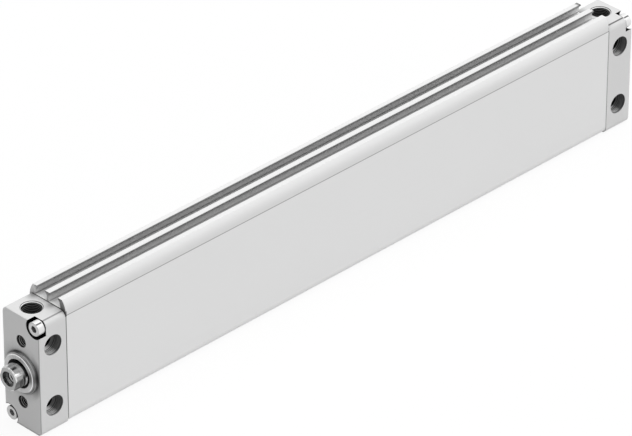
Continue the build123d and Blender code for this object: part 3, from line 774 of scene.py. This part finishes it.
def bright_screw(colours, screws):
    """Plated screw: painted shade on the head's faces, rim and socket, a painted dark reflection streak on
    the head's flank, and painted black shade where the notch and the cap shade it.
    """
    screw = Surface(metal("bright_screw", colours.screw, "turned_rings", 0.25, 0.3, 0.000002, contrast=0.03,
                          edge=0.0002, depth=0.002, shadow=0.8, black=0.1, Spacing=0.0002))
    socket_radius = 1.75 * MM
    socket_start = 0.45 * MM
    socket_middle = 0.7 * MM
    inwards = screw.inwards()
    axis_y = HALF_WIDTH - screws.inset
    axis_z = CAP_TOP - screws.inset
    outwards_y = screw.mirrored(screw.y, axis_y)
    outwards_z = screw.mirrored(screw.z, axis_z)
    radius = screw.distance(outwards_y, outwards_z)
    facing = screw.size(screw.normal_x)
    # Painted shade on the faces, the rim and the socket.
    screw.darken(0.84, screw.over(facing, FACING))
    screw.darken(0.7, screw.line(radius, screws.head_radius - 0.25 * MM, 0.14 * MM))
    screw.darken(0.36, screw.under(radius, socket_radius), screw.over(inwards, socket_start))
    screw.darken(0.7, screw.under(radius, socket_middle))
    # Painted black shade on the head's inner side, where the notch shades it.
    inner = screw.ramp(screw.plus(outwards_y, outwards_z), -1.2 * MM, -2.6 * MM)
    rounded = screw.product(screw.over(radius, 3.0 * MM), screw.under(facing, 0.96))
    shaded = screw.product(inner, rounded)
    screw.darken(0.03, shaded)
    screw.dull(shaded)
    # Painted dark reflection streak on the head's flank.
    lean = math.radians(28)
    up = screw.same_side(screw.z, axis_z)
    beside = screw.plus(screw.product(screw.same_side(screw.y, axis_y), math.cos(lean)),
                        screw.product(up, math.sin(lean)))
    flank = screw.product(screw.under(inwards, 3.5 * MM), screw.under(facing, 0.5))
    screw.darken(0.15, screw.line(beside, 0.0, 0.4 * MM), screw.over(up, 1.0 * MM), flank)
    # Painted black shade at the head's base.
    screw.darken(0.1, screw.line(inwards, screws.head_height + 0.1 * MM, 0.25 * MM))


def cut_thread(colours, threads):
    """Threads of the ports and the end holes, painted dark as shade, with painted lit crests."""
    # Painted shade: the threads are the cap's colour darkened.
    dark = shade(colours.cap, 0.03)[:3]
    thread = Surface(metal("cut_thread", dark, "fine_grain", 0.3, 0.2, 0.00001, edge=0.0001, edge_wear_and_highlight=4.0,
                           shadow=0.8, lit_edge=0.5, Size=0.0001))
    thread.shader.inputs["Specular IOR Level"].default_value = 0.05
    # Painted highlight on the crests of the threads.
    port_crest = thread.under(thread.from_port(threads), threads.port_radius - 0.75 * threads.port_ridge)
    high = thread.over(thread.z, CAP_TOP - PORT_REACH)
    thread.colour(grey(0.12), port_crest, high)
    end_crest = thread.under(thread.from_end_hole(threads), threads.end_radius - 0.7 * threads.end_ridge)
    ahead = thread.under(thread.inwards(), END_HOLE_REACH)
    thread.colour(grey(0.4), end_crest, ahead)


def bored_wall(colours, threads):
    """Rings in the counterbores of the cross holes, with the painted shade of the cross holes."""
    wall = Surface(metal("bored_wall", colours.cap, "fine_grain", 0.35, 0.3, 0.00001, edge=0.0001,
                         Size=0.0001))
    cross_hole_shade(wall, threads)


def plain_finishes(colours):
    """Finishes that are the same all over a piece."""
    metal("cut_steel", colours.rod, "fine_grain", 0.25, 1.0, 0.00001, dark=0.15, edge=0.0001, edge_wear_and_highlight=1.5,
          shadow=0.6, Size=0.0001)
    metal("sintered_bronze", colours.bronze, "fine_grain", 0.5, 1.0, 0.00003, contrast=0.3, Size=0.00015)
    metal("machined_piston", colours.piston, "turned_rings", 0.32, 0.9, 0.000006, contrast=0.06,
          Spacing=0.0003)
    metal("zinc_plate", colours.plated, "fine_grain", 0.3, 1.0, 0.000008, contrast=0.06, Size=0.0003)
    soft("nitrile_rubber", colours.rubber, 0.55, 0.0002, 0.00001)
    soft("cushion_polymer", colours.cushion, 0.42, 0.0006, 0.00001, contrast=0.08)
    soft("guide_acetal", colours.band, 0.45, 0.0003, 0.000008, contrast=0.04)
    soft("bonded_ferrite", colours.magnet, 0.6, 0.00025, 0.00002, contrast=0.3)


# Meshes

def dress(finish, *nodes):
    """Gives CAD nodes a finish."""
    for node in nodes:
        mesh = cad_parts[node].data
        mesh.materials.clear()
        mesh.materials.append(bpy.data.materials[finish])


def new_piece(name, shape, finish, body, stands_for=()):
    """Object from a bmesh that shape fills. It rides on a body."""
    mesh = bpy.data.meshes.new(name)
    work = bmesh.new()
    shape(work)
    bmesh.ops.recalc_face_normals(work, faces=work.faces)
    work.to_mesh(mesh)
    work.free()
    mesh.polygons.foreach_set("use_smooth", [True] * len(mesh.polygons))
    mesh.set_sharp_from_angle(angle=math.radians(32))
    mesh.materials.append(bpy.data.materials[finish])
    piece = bpy.data.objects.new(name, mesh)
    bpy.context.scene.collection.objects.link(piece)
    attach(piece, body)
    if stands_for:
        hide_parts(*stands_for)


def bridge(work, rings):
    """Quads between closed rings of equally many vertices."""
    for near, far in zip(rings, rings[1:]):
        count = len(near)
        for i in range(count):
            j = (i + 1) % count
            work.faces.new((near[i], near[j], far[j], far[i]))


def axes_of(direction):
    """Two unit vectors u and v so that u, v and direction are right-handed."""
    third = Vector(direction).normalized()
    first = third.orthogonal().normalized()
    return first, third.cross(first), third


def hexagon_radius(angle, flats):
    """Distance from a hexagon's centre to its side at that angle."""
    turn = math.radians(60)
    return flats / 2 / math.cos((angle % turn) - turn / 2)


def lathe_rings(work, base, direction, stations, closed=True):
    """Rings along an axis. A station is a distance and a radius, which may be a function of the angle.

    Closed ends meet in a point.
    """
    u, v, w = axes_of(direction)
    rings = []
    for distance, radius in stations:
        ring = []
        for i in range(LATHE_SIDES):
            angle = 2 * math.pi * i / LATHE_SIDES
            reach = radius(angle) if callable(radius) else radius
            out = u * math.cos(angle) + v * math.sin(angle)
            ring.append(work.verts.new(base + w * distance + out * reach))
        rings.append(ring)
    bridge(work, rings)
    if not closed:
        return
    for ring in (rings[0], rings[-1]):
        centre = work.verts.new(sum((vert.co for vert in ring), Vector()) / LATHE_SIDES)
        for i in range(LATHE_SIDES):
            work.faces.new((ring[i], ring[(i + 1) % LATHE_SIDES], centre))


def helix_ridge(work, base, direction, wall, crest, pitch, length, count=40):
    """Helical ridge on a wall, inwards or outwards, which runs out at both ends."""
    u, v, w = axes_of(direction)
    foot_half = 0.46
    crest_half = 0.09
    runout_turns = 0.5
    root = wall + (wall - crest) * 0.2
    steps = int(length / pitch * count)
    rings = []
    for i in range(steps + 1):
        turns = i / count
        turns_left = (steps - i) / count
        height = min(1.0, turns / runout_turns, turns_left / runout_turns)
        top = root + (crest - root) * (0.1 + 0.9 * height)
        angle = 2 * math.pi * turns
        out = u * math.cos(angle) + v * math.sin(angle)
        middle = base + w * (pitch * turns)
        ring = []
        for along, reach in ((-foot_half, root), (-crest_half, top), (crest_half, top), (foot_half, root)):
            ring.append(work.verts.new(middle + w * (pitch * along) + out * reach))
        rings.append(ring)
    bridge(work, rings)
    for ring in (rings[0], rings[-1]):
        work.faces.new(ring)


# Operators

class CYLINDER_OT_finishes(bpy.types.Operator):
    """Build the node groups and the materials of all finishes, with their painted light and shade"""

    bl_idname = "cylinder.finishes"
    bl_label = "Finishes"

    def execute(self, context):
        for build in (group_drawn_lines, group_turned_rings, group_sector_sheen, group_fine_grain,
                      group_handling_marks, group_edge_break, group_crevice, group_deep_shade,
                      group_hairline):
            build()
        colours = context.scene.cylinder_finish
        threads = context.scene.cylinder_threads
        satin_cap(colours, threads)
        satin_barrel(colours)
        turned_collar(colours)
        ground_rod(colours)
        bright_screw(colours, context.scene.cylinder_screws)
        cut_thread(colours, threads)
        bored_wall(colours, threads)
        plain_finishes(colours)
        return {"FINISHED"}


class CYLINDER_OT_body(bpy.types.Operator):
    """Finish the barrel, both caps, the collar and the wiper"""

    bl_idname = "cylinder.body"
    bl_label = "Barrel, caps and collar"

    def execute(self, context):
        dress("satin_barrel", "barrel")
        dress("satin_cap", "front_cap", "rear_cap")
        dress("turned_collar", "bearing_collar")
        dress("nitrile_rubber", "wiper_ring")
        return {"FINISHED"}


class CYLINDER_OT_inside(bpy.types.Operator):
    """Finish the bush, the seals, the cushions and the pieces of the piston"""

    bl_idname = "cylinder.inside"
    bl_label = "Inner pieces"

    def execute(self, context):
        dress("sintered_bronze", "rod_bush")
        dress("nitrile_rubber", "rod_seal", "front_cap_seal", "rear_cap_seal", "front_piston_seal",
              "rear_piston_seal", "piston_o_ring")
        dress("cushion_polymer", "front_cushion", "rear_cushion")
        dress("machined_piston", "front_piston_half", "rear_piston_half")
        dress("guide_acetal", "guide_band")
        dress("bonded_ferrite", "piston_magnet")
        dress("zinc_plate", "piston_washer")
        self.nut()
        return {"FINISHED"}

    def nut(self):
        """Nut with its corners chamfered at both ends."""
        low, high = NUT
        height = high.x - low.x
        flats = high.z - low.z
        bore = 3.02 * MM
        chamfer = 0.5 * MM

        def corner(angle):
            return hexagon_radius(angle, flats)

        def face(angle):
            return min(corner(angle), flats / 2)

        def shape(work):
            stations = ((0, bore), (0, face), (chamfer, corner), (height - chamfer, corner), (height, face),
                        (height, bore), (0, bore))
            lathe_rings(work, Vector((low.x, 0, 0)), (1, 0, 0), stations, closed=False)
            bmesh.ops.remove_doubles(work, verts=work.verts, dist=1e-7)

        new_piece("chamfered_nut", shape, "zinc_plate", "rod", ("piston_nut",))


class CYLINDER_OT_rod(bpy.types.Operator):
    """Finish the piston rod"""

    bl_idname = "cylinder.rod"
    bl_label = "Piston rod"

    def execute(self, context):
        dress("ground_rod", "piston_rod")
        return {"FINISHED"}


class CYLINDER_OT_screws(bpy.types.Operator):
    """Build the socket head screws of both caps, with rounded heads and threads"""

    bl_idname = "cylinder.screws"
    bl_label = "Cap screws"

    def execute(self, context):
        sizes = context.scene.cylinder_screws
        y = HALF_WIDTH - sizes.inset
        z = CAP_TOP - sizes.inset
        for end, start, direction in (("front", 0.0, 1), ("rear", TOTAL_LENGTH, -1)):
            for level, side, up in (("upper", -1, 1), ("lower", 1, -1)):
                head = Vector((start + direction * FRONT_SCREWS[0].x, side * y, up * z))
                self.screw(f"{end}_cap_screw_{level}", f"{end}_cap_screws", head, direction, sizes)
        return {"FINISHED"}

    def screw(self, name, node, head, direction, sizes):
        """One screw: a hexagon socket, a rounded head, and a shank with a thread on its inner half."""
        radius = sizes.head_radius
        edge = sizes.edge
        edge_steps = 5
        depth = sizes.socket_depth
        length = FRONT_SCREWS[1].x - FRONT_SCREWS[0].x
        shank = sizes.shank_radius
        root = shank * 0.88
        plain_end = length * 0.45
        step = length * 0.01
        axis = Vector((direction, 0, 0))

        def socket(angle):
            return hexagon_radius(angle, sizes.socket)

        def socket_floor(angle):
            return socket(angle) * 0.9

        def shape(work):
            stations = [(depth + 0.5 * MM, 0.02 * MM), (depth, socket_floor), (depth - 0.15 * MM, socket),
                        (0.25 * MM, socket), (0.0, sizes.socket * 0.62), (0.0, radius - edge)]
            for part in range(1, edge_steps + 1):
                turn = math.radians(90) * part / edge_steps
                stations.append((edge * (1 - math.cos(turn)), radius - edge + edge * math.sin(turn)))
            stations += [(sizes.head_height - 0.2 * MM, radius), (sizes.head_height, radius - 0.15 * MM),
                         (sizes.head_height, shank), (plain_end, shank), (plain_end + step, root),
                         (length - 0.5 * MM, root), (length, root * 0.8)]
            lathe_rings(work, head, axis, stations)
            thread_start = head + axis * (plain_end + 2 * step)
            helix_ridge(work, thread_start, axis, root, shank, sizes.pitch, length * 0.49, count=24)

        new_piece(name, shape, "bright_screw", "housing", (node,))


class CYLINDER_OT_threads(bpy.types.Operator):
    """Cut the threads of the ports, the end holes and the rod, and the rings in the counterbores"""

    bl_idname = "cylinder.threads"
    bl_label = "Threads"

    def execute(self, context):
        sizes = context.scene.cylinder_threads
        self.ports(sizes)
        self.end_holes(sizes)
        self.cross_holes(sizes)
        self.rod_hole(sizes)
        return {"FINISHED"}

    def ridge(self, name, base, direction, wall, height, pitch, length, finish="cut_thread", body="housing",
              slot="anodised_cap"):
        """Helical ridge that stands on the wall of a hole."""
        def shape(work):
            helix_ridge(work, Vector(base), direction, wall, wall - height, pitch, length)

        new_piece(name, shape, finish, body)

    def ports(self, sizes):
        """Threads of both ports, below their rims."""
        rim = 0.6 * MM
        for end, x in CAP_MIDDLES:
            base = (x, sizes.port_offset, CAP_TOP - rim)
            self.ridge(f"{end}_port_thread", base, (0, 0, -1), sizes.port_radius, sizes.port_ridge,
                       sizes.port_pitch, sizes.port_depth)

    def end_holes(self, sizes):
        """Threads of the end holes, from their rims to the cross holes."""
        rim = 0.5 * MM
        spare = 0.4 * MM
        length = CAP_MIDDLE - CROSS_HOLE_RADIUS - rim - spare
        for end, x, direction in (("front", rim, 1), ("rear", TOTAL_LENGTH - rim, -1)):
            for level, up in LEVELS:
                base = (x, 0, up * sizes.spacing / 2)
                self.ridge(f"{end}_end_thread_{level}", base, (direction, 0, 0), sizes.end_radius,
                           sizes.end_ridge, sizes.end_pitch, length)

    def cross_holes(self, sizes):
        """Rings in the counterbores of the cross holes."""
        inset = 0.6 * MM
        height = 0.12 * MM
        length = sizes.counterbore_depth - 2 * inset
        start = HALF_WIDTH - inset
        for end, x in CAP_MIDDLES:
            for level, up in LEVELS:
                for side, turn in (("near", -1), ("far", 1)):
                    base = (x, turn * start, up * sizes.spacing / 2)
                    self.ridge(f"{end}_cross_hole_rings_{level}_{side}", base, (0, -turn, 0),
                               sizes.counterbore, height, sizes.ring_pitch, length, "bored_wall")

    def rod_hole(self, sizes):
        """Thread in the rod's end, behind its counterbore."""
        lead = 0.5 * MM
        length = 10.5 * MM
        base = (ROD[0].x + sizes.rod_counterbore + lead, 0, 0)
        self.ridge("rod_end_thread", base, (1, 0, 0), sizes.end_radius, sizes.end_ridge, sizes.end_pitch,
                   length, "cut_steel", "rod", "rod_steel")


class CYLINDER_OT_studio(bpy.types.Operator):
    """Set up the floor, the soft light and the camera"""

    bl_idname = "cylinder.studio"
    bl_label = "Studio"

    def execute(self, context):
        scene = context.scene
        settings = scene.cylinder_studio
        scene.view_settings.view_transform = "Standard"
        self.floor(scene, settings)
        self.surround(scene, settings)
        self.lamp(scene, settings)
        self.camera(scene, settings)
        return {"FINISHED"}

    def seen(self, tree):
        """1 for rays of the camera and of mirrors and glass, 0 for the rays that light the part."""
        path = add(tree, "LightPath").outputs
        direct = arithmetic(tree, "MAXIMUM", path["Is Camera Ray"], path["Is Glossy Ray"])
        return arithmetic(tree, "MAXIMUM", direct, path["Is Transmission Ray"])

    def floor(self, scene, settings):
        """White sheet under the part that still catches a faint shadow."""
        material, tree, shader = blank("pale_floor")
        seen = self.seen(tree)
        grain = use(tree, "fine_grain", Size=0.02)["Tone"]
        colour = blended(tree, grain, shade(settings.floor, 0.99), shade(settings.floor, 1.01))
        colour = blended(tree, seen, colour, WHITE)
        give(tree, shader, {"Base Color": colour})
        shader.inputs["Roughness"].default_value = 0.9
        shader.inputs["Specular IOR Level"].default_value = 0.0
        white = add(tree, "Emission", {"Color": WHITE, "Strength": 1.0}).outputs[0]
        glow = arithmetic(tree, "MULTIPLY", seen, 0.9)
        mix = add(tree, "MixShader", {0: glow, 1: shader.outputs[0], 2: white}).outputs[0]
        give(tree, tree.nodes["Material Output"], {"Surface": mix})
        work = bmesh.new()
        place = Matrix.Translation((0.2, 0, FLOOR_LEVEL))
        bmesh.ops.create_grid(work, x_segments=8, y_segments=8, size=6.0, matrix=place)
        mesh = bpy.data.meshes.new("studio_floor")
        work.to_mesh(mesh)
        work.free()
        mesh.materials.append(material)
        sheet = bpy.data.objects.new("studio_floor", mesh)
        scene.collection.objects.link(sheet)

    def surround(self, scene, settings):
        """White surround. The light it gives grows along the lean."""
        world = bpy.data.worlds.new("studio_surround")
        scene.world = world
        world.use_nodes = True
        tree = world.node_tree
        back = tree.nodes["Background"]
        back.inputs["Color"].default_value = WHITE
        way = add(tree, "TexCoord").outputs["Generated"]
        lean = add(tree, "VectorMath", {0: way, 1: tuple(settings.lean)}, operation="DOT_PRODUCT")
        light = arithmetic(tree, "ADD", lean.outputs["Value"], settings.sky)
        give(tree, back, {"Strength": ramp(tree, self.seen(tree), low=light)})

    def lamp(self, scene, settings):
        """Wide, soft lamp above the part."""
        towards = Vector((0.1, -0.15, 1.0))
        data = bpy.data.lights.new("top_lamp", "SUN")
        data.energy = settings.top
        data.angle = math.radians(100)
        lamp = bpy.data.objects.new("top_lamp", data)
        lamp.rotation_mode = "QUATERNION"
        lamp.rotation_quaternion = towards.to_track_quat("Z", "Y")
        lamp.location = towards
        scene.collection.objects.link(lamp)

    def camera(self, scene, settings):
        """Camera of the photograph, shifted by half a pixel to where the photograph has the part."""
        azimuth = settings.azimuth
        elevation = settings.elevation
        level = math.cos(elevation)
        back = Vector((math.sin(azimuth) * level, -math.cos(azimuth) * level, math.sin(elevation)))
        right = Vector((0, 0, 1)).cross(back).normalized()
        up = back.cross(right)
        turn = Matrix((right, up, back)).transposed().to_4x4()
        half_pixel = 0.5 / PICTURE_WIDTH
        data = bpy.data.cameras.new("photo_camera")
        data.lens = settings.lens
        data.sensor_width = 36.0
        data.shift_x = -half_pixel
        data.shift_y = half_pixel
        data.clip_start = 0.1
        data.clip_end = 20.0
        camera = bpy.data.objects.new("photo_camera", data)
        roll = Matrix.Rotation(settings.roll, 4, "Z")
        camera.matrix_world = Matrix.Translation(settings.place) @ turn @ roll
        scene.collection.objects.link(camera)
        scene.camera = camera


class CYLINDER_PT_panel(bpy.types.Panel):
    """Steps and sizes of the cylinder"""

    bl_label = "Flat cylinder"
    bl_idname = "CYLINDER_PT_panel"
    bl_space_type = "VIEW_3D"
    bl_region_type = "UI"
    bl_category = "Cylinder"

    def draw(self, context):
        for step in STEPS:
            self.layout.operator(step.bl_idname)
        for name in SETTINGS:
            box = self.layout.box()
            group = getattr(context.scene, name)
            for key in group.__annotations__:
                box.prop(group, key)


STEPS = (CYLINDER_OT_finishes, CYLINDER_OT_body, CYLINDER_OT_inside, CYLINDER_OT_rod, CYLINDER_OT_screws,
         CYLINDER_OT_threads, CYLINDER_OT_studio)
SETTINGS = {
    "cylinder_finish": CylinderFinish,
    "cylinder_screws": ScrewSizes,
    "cylinder_threads": ThreadSizes,
    "cylinder_studio": StudioSettings,
}


def register():
    """Adds the settings, the operators and the panel."""
    for name, group in SETTINGS.items():
        bpy.utils.register_class(group)
        setattr(bpy.types.Scene, name, bpy.props.PointerProperty(type=group))
    for kind in (*STEPS, CYLINDER_PT_panel):
        bpy.utils.register_class(kind)


def unregister():
    """Takes them away again."""
    for kind in (CYLINDER_PT_panel, *reversed(STEPS)):
        bpy.utils.unregister_class(kind)
    for name, group in SETTINGS.items():
        delattr(bpy.types.Scene, name)
        bpy.utils.unregister_class(group)


def main():
    """Runs every step."""
    register()
    for step in STEPS:
        family, name = step.bl_idname.split(".")
        getattr(getattr(bpy.ops, family), name)()


if __name__ == "__main__":
    main()
